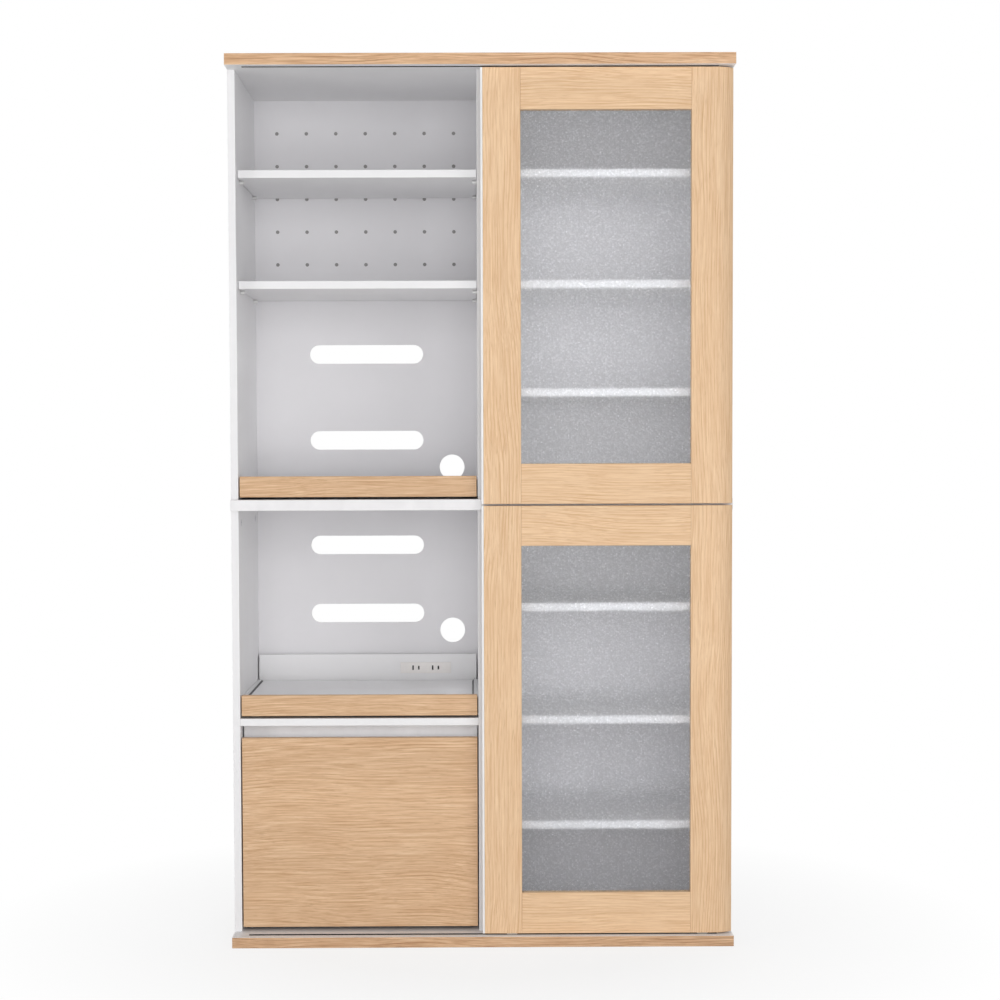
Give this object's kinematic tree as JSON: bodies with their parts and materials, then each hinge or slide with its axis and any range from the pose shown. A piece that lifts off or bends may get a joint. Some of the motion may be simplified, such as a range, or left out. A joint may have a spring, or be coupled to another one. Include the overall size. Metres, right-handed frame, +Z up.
{
  "type": "kitchen cupboard",
  "caption": "Tall kitchen cupboard: an open appliance column with pull-out trays and a deep drawer, beside shelves behind sliding frosted-glass doors.",
  "frame": {"origin": "on the floor, under the middle of the base board", "axes": "+X to the right as seen from the front, +Y to the back, +Z up"},
  "size_m": [1.02, 0.45, 1.8],
  "materials": {
    "white_board": "satin white melamine on particle board",
    "oak_board": "light oak print with a fine matt grain",
    "oak_topped_board": "light oak edges and top, white underneath",
    "oak_edged_board": "white face with light oak edges",
    "white_back": "matt white hardboard",
    "frosted_glass": "pebbled frosted glass",
    "white_rail": "white moulded plastic",
    "edge_strip": "white soft edge strip",
    "track_plastic": "near-black moulded plastic",
    "nylon": "natural nylon",
    "slide_steel": "white stoved enamel on rolled steel",
    "zinc": "bright zinc plate",
    "outlet_plastic": "beige-grey urea moulding"
  },
  "bodies": {
    "carcass": {"base_board": "oak_edged_board", "top_board": "oak_topped_board", "middle_board": "white_board", "middle_guide_rail": "white_rail", "door_tracks": "track_plastic", "lower_left_side": "white_board", "lower_right_side": "white_board", "lower_partition": "white_board", "upper_left_side": "white_board", "upper_right_side": "white_board", "upper_partition": "white_board", "peg_back": "white_back", "upper_vent_back": "white_back", "lower_vent_back": "white_back", "right_backs": "white_back", "fixed_shelf": "white_board", "left_shelves": "white_board", "upper_right_shelves": "white_board", "lower_right_shelves": "white_board", "shelf_pins": "zinc", "cam_locks": "zinc", "outlet_board": "white_board", "outlet_plate": "outlet_plastic", "outlet_body": "outlet_plastic", "cabinet_slides": "slide_steel"},
    "upper_tray": {"upper_tray_front": "oak_board", "upper_tray_board": "white_board", "upper_tray_battens": "white_board", "upper_tray_inner_slides": "slide_steel"},
    "upper_tray_slides": {"upper_tray_middle_slides": "slide_steel"},
    "lower_tray": {"lower_tray_front": "oak_board", "lower_tray_board": "white_board", "lower_tray_battens": "white_board", "lower_tray_inner_slides": "slide_steel"},
    "lower_tray_slides": {"lower_tray_middle_slides": "slide_steel"},
    "drawer": {"drawer_front": "oak_board", "drawer_pull": "white_rail", "drawer_sides": "white_board", "drawer_back": "white_board", "drawer_bottom": "white_board", "drawer_inner_slides": "slide_steel"},
    "drawer_slides": {"drawer_middle_slides": "slide_steel"},
    "upper_door": {"upper_door_left_stile": "oak_board", "upper_door_right_stile": "oak_board", "upper_door_rails": "oak_board", "upper_door_glass": "frosted_glass", "upper_door_edge_strip": "edge_strip", "upper_door_hardware": "zinc"},
    "upper_door_wheel_left": {"upper_door_wheel_left": "nylon"},
    "upper_door_wheel_right": {"upper_door_wheel_right": "nylon"},
    "lower_door": {"lower_door_left_stile": "oak_board", "lower_door_right_stile": "oak_board", "lower_door_rails": "oak_board", "lower_door_glass": "frosted_glass", "lower_door_edge_strip": "edge_strip", "lower_door_hardware": "zinc"},
    "lower_door_wheel_left": {"lower_door_wheel_left": "nylon"},
    "lower_door_wheel_right": {"lower_door_wheel_right": "nylon"}
  },
  "joints": [
    {"name": "upper_door_slide", "type": "slide", "parent": "carcass", "child": "upper_door", "axis": [1, 0, 0], "range_m": [-0.506, 0]},
    {"name": "upper_door_wheel_left_turn", "type": "hinge", "parent": "upper_door", "child": "upper_door_wheel_left", "pos_m": [0.0595, -0.18, 0.9123], "axis": [0, 1, 0], "continuous": true},
    {"name": "upper_door_wheel_right_turn", "type": "hinge", "parent": "upper_door", "child": "upper_door_wheel_right", "pos_m": [0.448, -0.18, 0.9123], "axis": [0, 1, 0], "continuous": true},
    {"name": "lower_door_slide", "type": "slide", "parent": "carcass", "child": "lower_door", "axis": [1, 0, 0], "range_m": [-0.506, 0]},
    {"name": "lower_door_wheel_left_turn", "type": "hinge", "parent": "lower_door", "child": "lower_door_wheel_left", "pos_m": [0.0595, -0.2005, 0.0328], "axis": [0, 1, 0], "continuous": true},
    {"name": "lower_door_wheel_right_turn", "type": "hinge", "parent": "lower_door", "child": "lower_door_wheel_right", "pos_m": [0.448, -0.2005, 0.0328], "axis": [0, 1, 0], "continuous": true},
    {"name": "upper_tray_slide", "type": "slide", "parent": "carcass", "child": "upper_tray", "axis": [0, -1, 0], "range_m": [0, 0.28]},
    {"name": "upper_tray_middle_slide", "type": "slide", "parent": "carcass", "child": "upper_tray_slides", "axis": [0, -1, 0], "range_m": [0, 0.14]},
    {"name": "lower_tray_slide", "type": "slide", "parent": "carcass", "child": "lower_tray", "axis": [0, -1, 0], "range_m": [0, 0.28]},
    {"name": "lower_tray_middle_slide", "type": "slide", "parent": "carcass", "child": "lower_tray_slides", "axis": [0, -1, 0], "range_m": [0, 0.14]},
    {"name": "drawer_slide", "type": "slide", "parent": "carcass", "child": "drawer", "axis": [0, -1, 0], "range_m": [0, 0.3]},
    {"name": "drawer_middle_slide", "type": "slide", "parent": "carcass", "child": "drawer_slides", "axis": [0, -1, 0], "range_m": [0, 0.15]}
  ],
  "couplings": [
    {"joint": "upper_door_wheel_left_turn", "follows": "upper_door_slide", "rad_per_m": 100},
    {"joint": "upper_door_wheel_right_turn", "follows": "upper_door_slide", "rad_per_m": 100},
    {"joint": "lower_door_wheel_left_turn", "follows": "lower_door_slide", "rad_per_m": 66.667},
    {"joint": "lower_door_wheel_right_turn", "follows": "lower_door_slide", "rad_per_m": 66.667},
    {"joint": "upper_tray_middle_slide", "follows": "upper_tray_slide", "ratio": 0.5},
    {"joint": "lower_tray_middle_slide", "follows": "lower_tray_slide", "ratio": 0.5},
    {"joint": "drawer_middle_slide", "follows": "drawer_slide", "ratio": 0.5}
  ]
}
